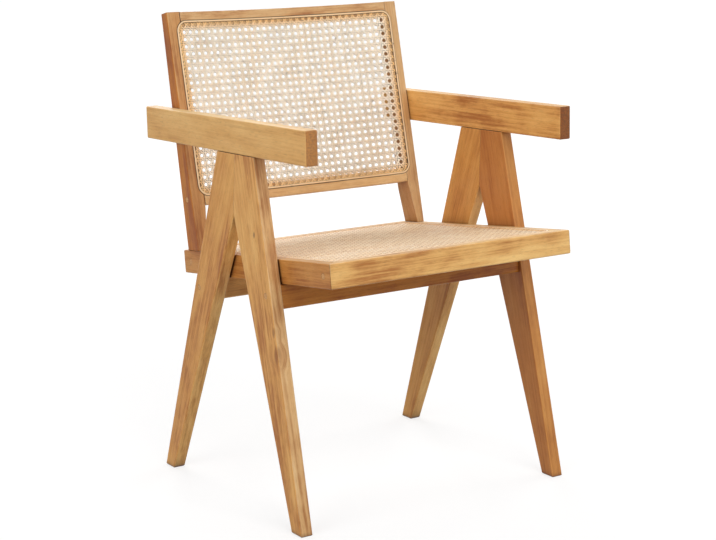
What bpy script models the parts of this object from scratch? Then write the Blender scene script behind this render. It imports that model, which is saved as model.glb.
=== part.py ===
"""Cane dining armchair on two A-shaped leg frames, built from separate joined pieces.

Lengths are in metres and +Z is up. The sitter faces -Y, so the sitter's left is +X.
The origin is on the floor, under the middle of the chair.
"""
import math

import bmesh
import bpy
from mathutils import Matrix, Vector

MM = 0.001
CLEARANCE = 0.3 * MM

# Boards of the arms and legs
BOARD = 22 * MM
EDGE_RADIUS = 2 * MM

# Arms
ARM_SPREAD = 522 * MM
ARM_HEIGHT = 55.5 * MM
ARM_FRONT_Y = -243.7 * MM
ARM_FRONT_Z = 650.5 * MM
ARM_TILT = math.radians(1.6)
ARM_REACH = 88 * MM

# Leg frames: feet on the floor, top edges under the arm, and the crotch between the legs
FRONT_FOOT_Y = -232.7 * MM
REAR_FOOT_Y = 221.3 * MM
FOOT_DEPTH = 30 * MM
FOOT_CHAMFER = 2 * MM
FRONT_TOP_Y = -87.7 * MM
REAR_TOP_Y = 27.3 * MM
CROTCH_Y = -24.8 * MM
CROTCH_Z = 488 * MM
LEG_SPLAY = math.radians(0.84)
TENON_WIDTH = 34 * MM
TENON_THICKNESS = 9 * MM
TENON_LENGTH = 28 * MM

# Cross rails under the seat
CROSS_RAIL_DEPTH = 22 * MM
CROSS_RAIL_HEIGHT = 40 * MM
CROSS_RAIL_SETBACK = 16.5 * MM

# Seat frame, which slopes down to the rear
SEAT_FRONT_Y = -273.1 * MM
SEAT_FRONT_Z = 447.6 * MM
SEAT_TILT = math.radians(6.82)
SEAT_LENGTH = 467 * MM
SEAT_THICKNESS = 40 * MM
SEAT_RAIL_WIDTH = 42 * MM
STILE_SETBACK = 54.5 * MM

# Back frame, which leans to the rear, with rails bowed to the rear between its stiles
BACK_LEAN = math.radians(13.34)
BACK_HEIGHT = 412 * MM
BACK_GAP = 77.5 * MM
BACK_BOW = 14 * MM
BOW_STEPS = 12
BACK_RAIL_HEIGHT = 26 * MM
TOP_RAIL_DEPTH = 19 * MM
BOTTOM_RAIL_DEPTH = 29 * MM
STILE_WIDTH = 25 * MM
STILE_FOOT_WIDTH = 15 * MM
STILE_TOP_DEPTH = 21 * MM
STILE_FOOT_DEPTH = 39 * MM

# Cane panels, and the splines that hold them in their grooves
CANE_THICKNESS = 1.6 * MM
CANE_OPENING = 17.5 * MM
CANE_OPENINGS_ACROSS = 12
GROOVE_WIDTH = 4.6 * MM
GROOVE_DEPTH = 7 * MM
SPLINE_PROUD = 0.6 * MM
BACK_BORDER = 14.8 * MM
SEAT_BORDER_MARGIN = 3 * MM
CORNER_RADIUS = 20 * MM
CORNER_STEPS = 7

# Fasteners
SCREW_HEAD_RADIUS = 4 * MM
SCREW_HEAD_HEIGHT = 3 * MM
SCREW_RADIUS = 2.2 * MM
SCREW_TIP = 6 * MM
SCREW_STEPS = 12
PLUG_RADIUS = 4.5 * MM
PLUG_LENGTH = 6 * MM
DOWEL_RADIUS = 4 * MM
DOWEL_LENGTH = 40 * MM
DOWEL_BEVEL = 1 * MM
ROUND_SIDES = 16
SEAT_SCREW_LENGTH = 56 * MM
SEAT_SCREW_RECESS = 13 * MM
SCREW_SPACING = 5 * MM
CORNER_SCREW_LENGTH = 48 * MM
RAIL_SCREW_LENGTH = 44 * MM
BACK_SCREW_LENGTH = 55 * MM
ARM_SCREW_LENGTH = 37 * MM

# Derived places
ARM_INNER = ARM_SPREAD / 2 - BOARD
SEAT_HALF = ARM_INNER - CLEARANCE
SEAT_BORDER = STILE_FOOT_WIDTH + SEAT_BORDER_MARGIN
SEAT_SCREW_X = ARM_SPREAD / 2 - PLUG_LENGTH - RAIL_SCREW_LENGTH - SCREW_SPACING
SEAM_TOP_Y = (FRONT_TOP_Y + REAR_TOP_Y) / 2
TRIM_REACH = 60 * MM
SIDES = {"left": 1, "right": -1}

# Finishes: colour, roughness and metallic value
TEAK_LIGHT = ((0.60, 0.36, 0.14), 0.5, 0.0)
TEAK_DARK = ((0.38, 0.17, 0.07), 0.5, 0.0)
CANE = ((0.83, 0.70, 0.50), 0.6, 0.0)
RATTAN = ((0.88, 0.62, 0.34), 0.55, 0.0)
BEECH = ((0.74, 0.55, 0.35), 0.6, 0.0)
STEEL = ((0.62, 0.60, 0.56), 0.35, 1.0)

# Turns a flat outline so that it stands in the Y-Z plane, or in the X-Z plane
UPRIGHT = Matrix(((0, 0, 1, 0), (1, 0, 0, 0), (0, 1, 0, 0), (0, 0, 0, 1)))
FRONTAL = Matrix.Rotation(math.pi / 2, 4, "X")


def empty_scene():
    """Remove the objects that the scene starts with."""
    for obj in list(bpy.data.objects):
        bpy.data.objects.remove(obj, do_unlink=True)


def new_collection(name):
    """Add a named collection to the scene."""
    group = bpy.data.collections.new(name)
    bpy.context.scene.collection.children.link(group)
    return group


def add_object(name, mesh, place, group):
    """Add a mesh as an object of one collection, at a place given as a matrix."""
    obj = bpy.data.objects.new(name, mesh)
    group.objects.link(obj)
    obj.matrix_world = place
    return obj


def finish(obj, look):
    """Give an object its own plain material."""
    colour, roughness, metallic = look
    material = bpy.data.materials.new(obj.name + "_finish")
    material.use_nodes = True
    shader = material.node_tree.nodes["Principled BSDF"]
    shader.inputs["Base Color"].default_value = (*colour, 1.0)
    shader.inputs["Roughness"].default_value = roughness
    shader.inputs["Metallic"].default_value = metallic
    obj.data.materials.append(material)


def mesh_from(bm, name):
    """Turn a bmesh into a mesh with its faces pointing out."""
    bmesh.ops.recalc_face_normals(bm, faces=bm.faces)
    mesh = bpy.data.meshes.new(name)
    bm.to_mesh(mesh)
    bm.free()
    return mesh


def block_mesh(name, low, high):
    """A box between two corners."""
    bm = bmesh.new()
    bmesh.ops.create_cube(bm, size=1)
    low, high = Vector(low), Vector(high)
    bmesh.ops.scale(bm, verts=bm.verts, vec=high - low)
    bmesh.ops.translate(bm, verts=bm.verts, vec=(low + high) / 2)
    return mesh_from(bm, name)


def plate_mesh(name, outlines, thickness):
    """A flat outline, with any holes inside it, thickened evenly about the X-Y plane."""
    curve = bpy.data.curves.new(name, "CURVE")
    curve.dimensions = "2D"
    curve.fill_mode = "BOTH"
    curve.extrude = thickness / 2
    for outline in outlines:
        spline = curve.splines.new("POLY")
        spline.points.add(len(outline) - 1)
        for point, (x, y) in zip(spline.points, outline):
            point.co = (x, y, 0, 1)
        spline.use_cyclic_u = True
    holder = bpy.data.objects.new(name, curve)
    bpy.context.scene.collection.objects.link(holder)
    graph = bpy.context.evaluated_depsgraph_get()
    filled = bpy.data.meshes.new_from_object(holder.evaluated_get(graph))
    bm = bmesh.new()
    bm.from_mesh(filled)
    bpy.data.objects.remove(holder)
    bpy.data.meshes.remove(filled)
    bmesh.ops.remove_doubles(bm, verts=bm.verts, dist=0.01 * MM)
    bmesh.ops.dissolve_limit(bm, angle_limit=0.01, verts=bm.verts, edges=bm.edges)
    return mesh_from(bm, name)


def peg_mesh(name, radius, length, bevel):
    """A round peg from the origin down to -length, with bevelled rims."""
    bm = bmesh.new()
    sizes = {"radius1": radius, "radius2": radius, "depth": length}
    bmesh.ops.create_cone(bm, cap_ends=True, segments=ROUND_SIDES, **sizes)
    bmesh.ops.translate(bm, verts=bm.verts, vec=(0, 0, -length / 2))
    if bevel:
        rims = [edge for edge in bm.edges if abs(edge.verts[0].co.z - edge.verts[1].co.z) < CLEARANCE]
        bmesh.ops.bevel(bm, geom=rims, offset=bevel, segments=1, affect="EDGES")
    return mesh_from(bm, name)


def screw_mesh(name, length):
    """The turned profile of a wood screw, head at the origin and tip at -length."""
    profile = (
        (0, 0),
        (SCREW_HEAD_RADIUS, 0),
        (SCREW_HEAD_RADIUS, -SCREW_HEAD_HEIGHT),
        (SCREW_RADIUS, -SCREW_HEAD_HEIGHT),
        (SCREW_RADIUS, -length + SCREW_TIP),
        (0, -length),
    )
    mesh = bpy.data.meshes.new(name)
    edges = [(i, i + 1) for i in range(len(profile) - 1)]
    mesh.from_pydata([(x, 0, z) for x, z in profile], edges, [])
    return mesh


def frustum_mesh(name, width, depth, height):
    """A block that stands on the floor and widens upward at 45 degrees."""
    bm = bmesh.new()
    bmesh.ops.create_cube(bm, size=1)
    bmesh.ops.scale(bm, verts=bm.verts, vec=(width, depth, height))
    bmesh.ops.translate(bm, verts=bm.verts, vec=(0, 0, height / 2))
    for vert in bm.verts:
        if vert.co.z > height / 2:
            vert.co.x += math.copysign(height, vert.co.x)
            vert.co.y += math.copysign(height, vert.co.y)
    return mesh_from(bm, name)


def soften(mesh, radius, wanted):
    """Round the edges of a mesh that wanted(direction, middle) picks."""
    bm = bmesh.new()
    bm.from_mesh(mesh)
    picked = []
    for edge in bm.edges:
        start, end = edge.verts[0].co, edge.verts[1].co
        if wanted((end - start).normalized(), (start + end) / 2):
            picked.append(edge)
    bmesh.ops.bevel(bm, geom=picked, offset=radius, segments=2, profile=0.5, affect="EDGES")
    bm.to_mesh(mesh)
    bm.free()


def every_edge(direction, middle):
    """Pick every edge."""
    return True


def edges_along(axis):
    """Pick the edges that run along one axis."""
    return lambda direction, middle: abs(direction[axis]) > 0.98


def part(name, mesh, place, look):
    """Add one piece of the chair."""
    obj = add_object(name, mesh, place, parts)
    finish(obj, look)
    return obj


def cutter(mesh, place):
    """Add a shape that only cuts or joins other pieces."""
    obj = add_object("cutter_" + mesh.name, mesh, place, cutters)
    obj.hide_render = True
    obj.display_type = "WIRE"
    return obj


def combine(target, tool, operation="DIFFERENCE"):
    """Cut a tool out of a piece, or join it on."""
    step = target.modifiers.new(operation.lower(), "BOOLEAN")
    step.operation = operation
    step.object = tool
    step.solver = "EXACT"


def cut(target, tool):
    """Add a tool to the shapes that are cut out of a piece in one step."""
    name = target.name + "_cuts"
    if name not in cutters.children:
        group = bpy.data.collections.new(name)
        cutters.children.link(group)
        step = target.modifiers.new("cuts", "BOOLEAN")
        step.operation = "DIFFERENCE"
        step.operand_type = "COLLECTION"
        step.collection = group
        step.solver = "EXACT"
    cutters.children[name].objects.link(tool)


def facing(point, direction):
    """A place whose -Z runs into the material from a point, along a direction."""
    outward = -Vector(direction)
    return Matrix.Translation(point) @ outward.to_track_quat("Z", "Y").to_matrix().to_4x4()


def bore(hosts, place, radius, depth, start=0.0):
    """Drill the same round hole in several pieces, from start below the surface to depth."""
    mesh = peg_mesh("bore", radius, depth - start, 0)
    drill = cutter(mesh, place @ Matrix.Translation((0, 0, -start)))
    for host in hosts:
        cut(host, drill)


def drive_screw(name, place, length, hosts, recess, plugged):
    """Sink a screw below the surface of the first host into the next, under a plug if it has one."""
    mouth = 2 * MM
    seat = recess + SCREW_HEAD_HEIGHT + CLEARANCE
    bore(hosts[:1], place @ Matrix.Translation((0, 0, mouth)), PLUG_RADIUS + CLEARANCE, seat + mouth)
    bore(hosts, place, SCREW_RADIUS + CLEARANCE, recess + length + CLEARANCE, seat - CLEARANCE)
    head = place @ Matrix.Translation((0, 0, -recess))
    screw = part(name + "_screw", screw_mesh(name, length), head, STEEL)
    turn = screw.modifiers.new("turn", "SCREW")
    turn.steps = SCREW_STEPS
    turn.render_steps = SCREW_STEPS
    turn.use_merge_vertices = True
    turn.merge_threshold = 0.01 * MM
    if plugged:
        part(name + "_plug", peg_mesh(name, PLUG_RADIUS, recess - CLEARANCE, 0), place, BEECH)


def drive_dowel(name, place, hosts, length):
    """Set a dowel half its length to each side of a joint face at the given place."""
    top = place @ Matrix.Translation((0, 0, length / 2))
    part(name, peg_mesh(name, DOWEL_RADIUS, length, DOWEL_BEVEL), top, BEECH)
    mouth = Matrix.Translation((0, 0, CLEARANCE))
    bore(hosts, top @ mouth, DOWEL_RADIUS + CLEARANCE, length + 2 * CLEARANCE)


def line_y(z, low, high):
    """The y of a straight edge at one height, from two (y, z) points on it."""
    return low[0] + (high[0] - low[0]) * (z - low[1]) / (high[1] - low[1])


def meet(point, direction, other_point, other_direction):
    """Where two lines of the Y-Z plane cross."""
    (py, pz), (dy, dz) = point, direction
    (qy, qz), (ey, ez) = other_point, other_direction
    step = ((qy - py) * ez - (qz - pz) * ey) / (dy * ez - dz * ey)
    return py + step * dy, pz + step * dz


def rounded_rectangle(low, high, radius):
    """The outline of a rectangle with round corners."""
    points = []
    corners = ((high, high, 0), (low, high, 1), (low, low, 2), (high, low, 3))
    for side, end, quarter in corners:
        inward_x = -radius if side is high else radius
        inward_y = -radius if end is high else radius
        for i in range(CORNER_STEPS + 1):
            angle = (quarter + i / CORNER_STEPS) * math.pi / 2
            points.append((
                side[0] + inward_x + radius * math.cos(angle),
                end[1] + inward_y + radius * math.sin(angle),
            ))
    return points


def seat_place():
    """Front top edge of the seat: local Y runs to the rear along the seat, local Z is its upward normal."""
    return Matrix.Translation((0, SEAT_FRONT_Y, SEAT_FRONT_Z)) @ Matrix.Rotation(-SEAT_TILT, 4, "X")


def back_place():
    """Foot of the back's front face: local Z runs up the face, local Y is its rearward normal."""
    foot = seat_place() @ Vector((0, SEAT_LENGTH - STILE_SETBACK, 0))
    return Matrix.Translation(foot) @ Matrix.Rotation(-BACK_LEAN, 4, "X")


def arm_place(side):
    """Front top edge of an arm, in the middle of its thickness: local Y runs to the rear along it."""
    front = (side * (ARM_SPREAD - BOARD) / 2, ARM_FRONT_Y, ARM_FRONT_Z)
    return Matrix.Translation(front) @ Matrix.Rotation(-ARM_TILT, 4, "X")


def leg_top_z():
    """Height of the arm's underside above the seam between the legs."""
    under = arm_place(1) @ Vector((0, 0, -ARM_HEIGHT))
    return under.z - math.tan(ARM_TILT) * (SEAM_TOP_Y - under.y)


def leg_place(side):
    """Top of a leg frame's outer face, splayed outward to the floor."""
    top = (side * ARM_SPREAD / 2, 0, leg_top_z())
    return Matrix.Translation(top) @ Matrix.Rotation(-side * LEG_SPLAY, 4, "Y")


def arm_crossing():
    """Where the middle line of an arm crosses the front face of the back, as (y, z)."""
    middle = arm_place(1) @ Vector((0, 0, -ARM_HEIGHT / 2))
    foot = back_place().translation
    return meet(
        (middle.y, middle.z), (math.cos(ARM_TILT), -math.sin(ARM_TILT)),
        (foot.y, foot.z), (math.sin(BACK_LEAN), math.cos(BACK_LEAN)),
    )


def cross_rail_offset(foot_y, top_y, setback):
    """Distance along the seat to a cross rail's middle, set back from a leg's outer edge."""
    depth = SEAT_THICKNESS + CLEARANCE + CROSS_RAIL_HEIGHT / 2
    start = seat_place() @ Vector((0, 0, -depth))
    y, z = meet(
        (start.y, start.z), (math.cos(SEAT_TILT), -math.sin(SEAT_TILT)),
        (foot_y + setback, 0), (top_y - foot_y, leg_top_z()),
    )
    return (seat_place().inverted() @ Vector((0, y, z))).y


def make_arms():
    """Two flat bars, rounded on every edge, tilted down to the rear."""
    length = (arm_crossing()[0] + ARM_REACH - ARM_FRONT_Y) / math.cos(ARM_TILT)
    arms = {}
    for name, side in SIDES.items():
        mesh = block_mesh("arm", (-BOARD / 2, 0, -ARM_HEIGHT), (BOARD / 2, length, 0))
        soften(mesh, EDGE_RADIUS, every_edge)
        arms[name] = part("arm_" + name, mesh, arm_place(side), TEAK_LIGHT)
    return arms


def leg_outline(foot_y, top_y, seam_gap):
    """Outline of one leg in the Y-Z plane, a little past the floor and the arm, where it is cut off."""
    top = leg_top_z()
    spare = 10 * MM
    inward = FOOT_DEPTH if top_y < SEAM_TOP_Y else -FOOT_DEPTH
    inner_foot = (foot_y + inward, 0)
    outer_foot = (foot_y, 0)
    crotch = (CROTCH_Y, CROTCH_Z)
    points = (
        (line_y(-spare, outer_foot, (top_y, top)), -spare),
        (line_y(top + spare, outer_foot, (top_y, top)), top + spare),
        (line_y(top + spare, crotch, (SEAM_TOP_Y, top)) + seam_gap, top + spare),
        (CROTCH_Y + seam_gap, CROTCH_Z),
        (line_y(-spare, inner_foot, crotch) + seam_gap, -spare),
    )
    return [(y, z - top) for y, z in points]


def leg_edges(direction, middle):
    """Pick the long outer edges of a leg, and those below the crotch."""
    long_edge = abs(direction[1]) > 0.7
    below = middle[1] < CROTCH_Z / 2 - leg_top_z()
    return long_edge and (below or abs(middle[0] - CROTCH_Y) > FOOT_DEPTH)


def make_legs(arms):
    """Front and rear legs, glued along a seam under each arm and tenoned up into it."""
    legs = {}
    edges = {"front": (FRONT_FOOT_Y, FRONT_TOP_Y, -1), "rear": (REAR_FOOT_Y, REAR_TOP_Y, 1)}
    for name, side in SIDES.items():
        low = (-TRIM_REACH, -1, -ARM_HEIGHT - CLEARANCE)
        under = block_mesh("under_arm", low, (TRIM_REACH, 1, TRIM_REACH))
        ceiling = cutter(under, arm_place(side))
        middle = leg_place(side) @ Matrix.Translation((-side * BOARD / 2, 0, 0))
        for end, (foot_y, top_y, turn) in edges.items():
            outline = leg_outline(foot_y, top_y, turn * CLEARANCE / 2)
            mesh = plate_mesh("leg", [outline], BOARD)
            soften(mesh, EDGE_RADIUS, leg_edges)
            mesh.transform(UPRIGHT)
            leg = part(f"{end}_leg_{name}", mesh, middle, TEAK_LIGHT)
            combine(leg, foot_cutter(side, foot_y - turn * FOOT_DEPTH / 2), "INTERSECT")
            combine(leg, ceiling)
            add_tenon(leg, arms[name], middle, (top_y + SEAM_TOP_Y) / 2)
            legs[end, name] = leg
        join_legs(legs, name, middle)
    return legs


def foot_cutter(side, y):
    """The space that a leg keeps above the floor, which chamfers the edges of its foot."""
    x = ARM_SPREAD / 2 - BOARD / 2 + math.tan(LEG_SPLAY) * leg_top_z()
    trim = 2 * FOOT_CHAMFER
    mesh = frustum_mesh("foot", BOARD - trim, FOOT_DEPTH - trim, ARM_FRONT_Z + TRIM_REACH)
    return cutter(mesh, Matrix.Translation((side * x, y, 0)))


def add_tenon(leg, arm, middle, y):
    """Join a tenon to the top of a leg, and cut its mortise in the arm."""
    half = Vector((TENON_THICKNESS / 2, TENON_WIDTH / 2, 0))
    centre = Vector((0, y, 0))
    root = Vector((0, 0, -TENON_LENGTH / 2))
    tip = Vector((0, 0, TENON_LENGTH))
    spare = Vector((CLEARANCE, CLEARANCE, CLEARANCE))
    tenon = block_mesh("tenon", centre - half + root, centre + half + tip)
    mortise = block_mesh("mortise", centre - half + root - spare, centre + half + tip + spare)
    combine(leg, cutter(tenon, middle), "UNION")
    combine(arm, cutter(mortise, middle))


def join_legs(legs, name, middle):
    """Two dowels across the seam between the legs of one frame."""
    hosts = [legs["front", name], legs["rear", name]]
    top = leg_top_z()
    for place, share in (("lower", 1 / 3), ("upper", 2 / 3)):
        z = CROTCH_Z + (top - CROTCH_Z) * share
        y = line_y(z, (CROTCH_Y, CROTCH_Z), (SEAM_TOP_Y, top))
        seam = facing(middle @ Vector((0, y, z - top)), (0, 1, 0))
        drive_dowel(f"leg_dowel_{place}_{name}", seam, hosts, DOWEL_LENGTH)


def make_cross_rails(legs):
    """Two rails between the leg frames, which carry the seat."""
    high = -SEAT_THICKNESS - CLEARANCE
    low = high - CROSS_RAIL_HEIGHT
    rails = {}
    edges = {
        "front": (FRONT_FOOT_Y, FRONT_TOP_Y, CROSS_RAIL_SETBACK),
        "rear": (REAR_FOOT_Y, REAR_TOP_Y, -CROSS_RAIL_SETBACK),
    }
    for end, (foot_y, top_y, setback) in edges.items():
        y = cross_rail_offset(foot_y, top_y, setback)
        reach = ARM_SPREAD / 2
        near = (-reach, y - CROSS_RAIL_DEPTH / 2, low)
        mesh = block_mesh("cross_rail", near, (reach, y + CROSS_RAIL_DEPTH / 2, high))
        soften(mesh, EDGE_RADIUS, edges_along(0))
        rail = part(f"{end}_cross_rail", mesh, seat_place(), TEAK_DARK)
        for name, side in SIDES.items():
            inner, outer = -side * (BOARD + CLEARANCE), side * TRIM_REACH
            slab = block_mesh("leg_slab", (min(inner, outer), -1, -1), (max(inner, outer), 1, 1))
            combine(rail, cutter(slab, leg_place(side)))
            plug_at = leg_place(side).inverted() @ seat_place() @ Vector((0, y, (low + high) / 2))
            plug_at.x = 0
            inward = leg_place(side).to_3x3() @ Vector((-side, 0, 0))
            place = facing(leg_place(side) @ plug_at, inward)
            hosts = [legs[end, name], rail]
            drive_screw(f"{end}_rail_{name}", place, RAIL_SCREW_LENGTH, hosts, PLUG_LENGTH, True)
        rails[end] = (rail, y)
    return rails


def seat_outlines():
    """Plan outlines of the four seat rails, mitred at the corners with a hairline gap."""
    wide, deep, rail = SEAT_HALF, SEAT_LENGTH, SEAT_RAIL_WIDTH
    gap = CLEARANCE / math.sqrt(2)
    front = [(-wide + gap, 0), (wide - gap, 0), (wide - rail - gap, rail), (-wide + rail + gap, rail)]
    rear = [(x, deep - y) for x, y in reversed(front)]
    left = [(wide, gap), (wide, deep - gap), (wide - rail, deep - rail - gap), (wide - rail, rail + gap)]
    right = [(-x, y) for x, y in reversed(left)]
    return {"front_rail": front, "rear_rail": rear, "side_rail_left": left, "side_rail_right": right}


def make_seat_frame():
    """Four mitred rails that make the seat's frame."""
    place = seat_place() @ Matrix.Translation((0, 0, -SEAT_THICKNESS / 2))
    rails = {}
    for name, outline in seat_outlines().items():
        mesh = plate_mesh("seat_rail", [outline], SEAT_THICKNESS)
        soften(mesh, EDGE_RADIUS, edges_along(1 if "side" in name else 0))
        look = TEAK_DARK if "side" in name else TEAK_LIGHT
        rails[name] = part("seat_" + name, mesh, place, look)
    for end, t in (("front", SEAT_RAIL_WIDTH / 2), ("rear", SEAT_LENGTH - SEAT_RAIL_WIDTH / 2)):
        for name, side in SIDES.items():
            point = seat_place() @ Vector((side * SEAT_HALF, t, -SEAT_THICKNESS / 2))
            hosts = [rails["side_rail_" + name], rails[end + "_rail"]]
            place = facing(point, (-side, 0, 0))
            drive_screw(f"seat_{end}_{name}", place, CORNER_SCREW_LENGTH, hosts, PLUG_LENGTH, True)
    return rails


def fix_seat(seat, cross):
    """Screws up through the cross rails into the seat's side rails."""
    low = -SEAT_THICKNESS - CLEARANCE - CROSS_RAIL_HEIGHT
    up = seat_place().to_3x3() @ Vector((0, 0, 1))
    for end, (rail, y) in cross.items():
        for name, side in SIDES.items():
            point = seat_place() @ Vector((side * SEAT_SCREW_X, y, low))
            hosts = [rail, seat["side_rail_" + name]]
            title = f"seat_fixing_{end}_{name}"
            drive_screw(title, facing(point, up), SEAT_SCREW_LENGTH, hosts, SEAT_SCREW_RECESS, False)


def bowed_strip(reach, bow, near, far):
    """Plan outline of a strip between two depths, bowed to the rear between the stiles."""
    half = SEAT_HALF - STILE_WIDTH - CLEARANCE / 2
    xs = [half * (2 * i / BOW_STEPS - 1) for i in range(1, BOW_STEPS)]
    ends = [half, reach] if reach > half else [reach]
    xs = [*(-x for x in reversed(ends)), *xs, *ends]
    bows = [bow * (1 - min(1, abs(x) / half) ** 2) for x in xs]
    front = [(x, near + depth) for x, depth in zip(xs, bows)]
    rear = [(x, far + depth) for x, depth in zip(xs, bows)]
    return front + rear[::-1]


def cane_openings(low, high):
    """Square openings in even rows and columns over a frame's window, in place of the fine weave."""
    width, height = high[0] - low[0], high[1] - low[1]
    columns = CANE_OPENINGS_ACROSS
    rows = round(height / width * columns)
    half = CANE_OPENING / 2
    squares = []
    for i in range(columns):
        x = low[0] + (i + 0.5) * width / columns
        for j in range(rows):
            y = low[1] + (j + 0.5) * height / rows
            corners = ((-half, -half), (half, -half), (half, half), (-half, half))
            squares.append([(x + u, y + v) for u, v in corners])
    return squares


def fit_cane(title, hosts, place, groove, window, bow):
    """Cut the recess and groove for a cane panel, and lay in the cane and its spline.

    The panel's plane is the X-Y plane of place, with its face towards +Z. groove holds the corners
    of the groove's outer wall, and window those of the frame's opening. Each layer is a bowed slab,
    trimmed to the panel's outline.
    """
    low, high = Vector(groove[0]), Vector(groove[1])
    spare = 5 * MM

    def ring(inset):
        step = Vector((inset, inset))
        return rounded_rectangle(low + step, high - step, CORNER_RADIUS - inset)

    def slab(name, near, far):
        outline = bowed_strip(high.x + spare, bow, near, far)
        mesh = plate_mesh(name, [outline], high.y - low.y + 2 * spare)
        mesh.transform(FRONTAL.inverted())
        mesh.transform(Matrix.Translation((0, (low.y + high.y) / 2, 0)))
        return mesh

    def trim(obj, outlines):
        combine(obj, cutter(plate_mesh("outline", outlines, 2 * TRIM_REACH), place), "INTERSECT")
        return obj

    channel = trim(cutter(slab("groove", -spare, GROOVE_DEPTH), place), [ring(0), ring(GROOVE_WIDTH)])
    recess = trim(cutter(slab("recess", -spare, CANE_THICKNESS + CLEARANCE), place), [ring(GROOVE_WIDTH / 2)])
    for host in hosts:
        cut(host, recess)
        cut(host, channel)
    outlines = [ring(GROOVE_WIDTH), *cane_openings(*window)]
    trim(part(title + "_cane", slab("cane", 0, CANE_THICKNESS), place, CANE), outlines)
    walls = [ring(CLEARANCE), ring(GROOVE_WIDTH - CLEARANCE)]
    spline = slab("spline", -SPLINE_PROUD, GROOVE_DEPTH - CLEARANCE)
    trim(part(title + "_spline", spline, place, RATTAN), walls)


def make_stiles(seat):
    """Two uprights that stand on the seat's side rails, tapered in depth and, low down, in width."""
    foot, top = -20 * MM, BACK_HEIGHT
    slope = (STILE_TOP_DEPTH - STILE_FOOT_DEPTH) / BACK_HEIGHT
    outline = [(0, foot), (STILE_FOOT_DEPTH + slope * foot, foot), (STILE_TOP_DEPTH, top), (0, top)]
    inner_low, inner_high = SEAT_HALF - STILE_FOOT_WIDTH, SEAT_HALF - STILE_WIDTH
    below = line_y(foot, (inner_low, 0), (inner_high, BACK_GAP))
    above = line_y(BACK_GAP - foot, (inner_low, 0), (inner_high, BACK_GAP))
    clear = inner_high - TRIM_REACH
    wedge = [(clear, foot), (below, foot), (above, BACK_GAP - foot), (clear, BACK_GAP - foot)]
    seat_top = cutter(block_mesh("seat_top", (-1, 0, -TRIM_REACH), (1, 1, CLEARANCE)), seat_place())
    stiles = {}
    for name, side in SIDES.items():
        mesh = plate_mesh("stile", [outline], STILE_WIDTH)
        soften(mesh, EDGE_RADIUS, edges_along(1))
        mesh.transform(UPRIGHT)
        place = back_place() @ Matrix.Translation((side * (SEAT_HALF - STILE_WIDTH / 2), 0, 0))
        stile = part("back_stile_" + name, mesh, place, TEAK_DARK)
        flank = plate_mesh("wedge", [[(side * x, z) for x, z in wedge][::side]], 1)
        flank.transform(FRONTAL)
        combine(stile, cutter(flank, back_place()))
        combine(stile, seat_top)
        middle = SEAT_LENGTH - STILE_SETBACK + STILE_FOOT_DEPTH / 2
        foot_at = seat_place() @ Vector((side * (SEAT_HALF - STILE_FOOT_WIDTH / 2), middle, -SEAT_THICKNESS))
        up = seat_place().to_3x3() @ Vector((0, 0, 1))
        hosts = [seat["side_rail_" + name], stile]
        title = "stile_foot_" + name
        drive_screw(title, facing(foot_at, up), SEAT_SCREW_LENGTH, hosts, SEAT_SCREW_RECESS, False)
        stiles[name] = stile
    return stiles


def make_back(seat):
    """Stiles and bowed rails of the back, doweled at the top rail and screwed at the bottom rail."""
    stiles = make_stiles(seat)
    inner = SEAT_HALF - STILE_WIDTH
    rails = {}
    levels = {
        "top": (BACK_HEIGHT - BACK_RAIL_HEIGHT, TOP_RAIL_DEPTH),
        "bottom": (BACK_GAP, BOTTOM_RAIL_DEPTH),
    }
    for level, (z, depth) in levels.items():
        outline = bowed_strip(inner - CLEARANCE, BACK_BOW, 0, depth)
        mesh = plate_mesh("back_rail", [outline], BACK_RAIL_HEIGHT)
        soften(mesh, EDGE_RADIUS, edges_along(0))
        place = back_place() @ Matrix.Translation((0, 0, z + BACK_RAIL_HEIGHT / 2))
        rail = part(f"back_{level}_rail", mesh, place, TEAK_DARK)
        for name, side in SIDES.items():
            middle = Vector((side * inner, (GROOVE_DEPTH + depth) / 2, z + BACK_RAIL_HEIGHT / 2))
            hosts = [stiles[name], rail]
            if level == "top":
                middle.y = depth / 2
                middle.z = BACK_HEIGHT - BACK_BORDER / 2
                place = facing(back_place() @ middle, (-side, 0, 0))
                drive_dowel("top_rail_dowel_" + name, place, hosts, 2 * (STILE_WIDTH - PLUG_LENGTH))
            else:
                middle.x = side * SEAT_HALF
                place = facing(back_place() @ middle, (-side, 0, 0))
                drive_screw("bottom_rail_" + name, place, BACK_SCREW_LENGTH, hosts, PLUG_LENGTH, True)
        rails[level] = rail
    return stiles, rails


def fix_arms(arms, stiles):
    """Plugged screws through the stiles into the arms that pass outside them."""
    y, z = arm_crossing()
    local = back_place().inverted() @ Vector((0, y, z))
    share = local.z / BACK_HEIGHT
    local.y = (STILE_FOOT_DEPTH + (STILE_TOP_DEPTH - STILE_FOOT_DEPTH) * share) / 2
    for name, side in SIDES.items():
        local.x = side * (SEAT_HALF - STILE_WIDTH)
        place = facing(back_place() @ local, (side, 0, 0))
        drive_screw("arm_" + name, place, ARM_SCREW_LENGTH, [stiles[name], arms[name]], PLUG_LENGTH, True)


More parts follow.
